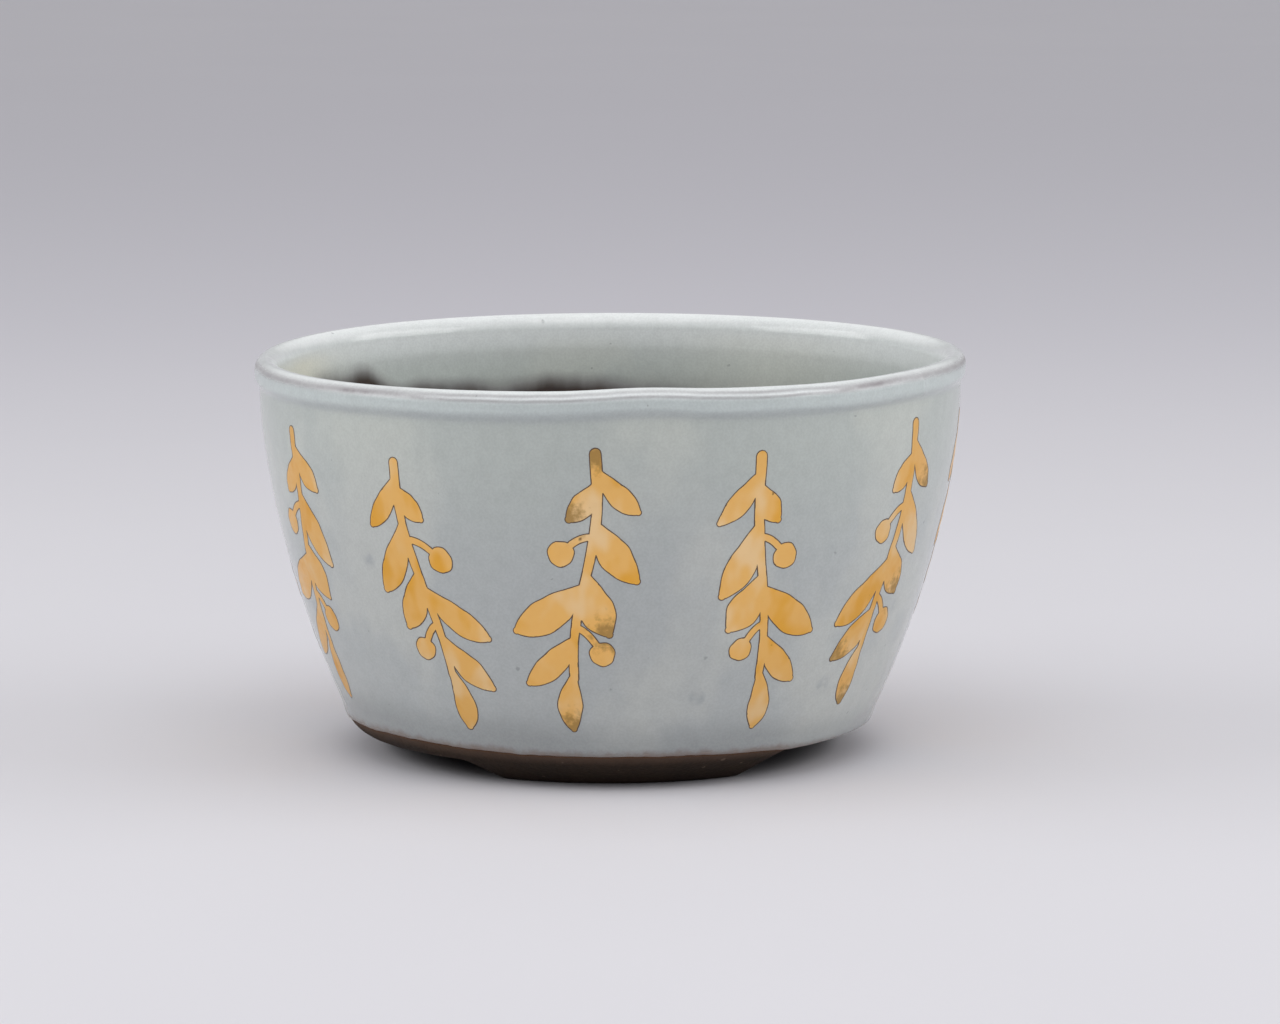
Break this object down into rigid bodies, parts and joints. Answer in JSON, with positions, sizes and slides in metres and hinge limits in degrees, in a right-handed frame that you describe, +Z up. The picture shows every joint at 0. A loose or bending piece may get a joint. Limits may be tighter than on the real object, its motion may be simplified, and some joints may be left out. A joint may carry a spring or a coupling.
{
  "type": "bowl",
  "caption": "Small glazed stoneware bowl with full curved walls, a rolled rim, an open hollow inside and a bare foot ring notched into low feet, for tea, rice or display.",
  "frame": {"origin": "on the bowl's axis, level with the flat undersides of the feet that it stands on", "axes": "+Z up along the bowl's axis; -Y towards the front, where one of the feet is centred; +X to the right as seen from the front"},
  "size_m": [0.12, 0.12, 0.0678],
  "materials": {
    "glaze": "glossy pale grey-green celadon glaze",
    "dark_glaze": "dark iron-brown pooled glaze in the lower inside",
    "clay": "bare, matte, dark brown stoneware",
    "gilding": "thin fired gold lustre, flush with the glaze"
  },
  "bodies": {
    "root": {"bowl": "glaze"}
  },
  "joints": []
}
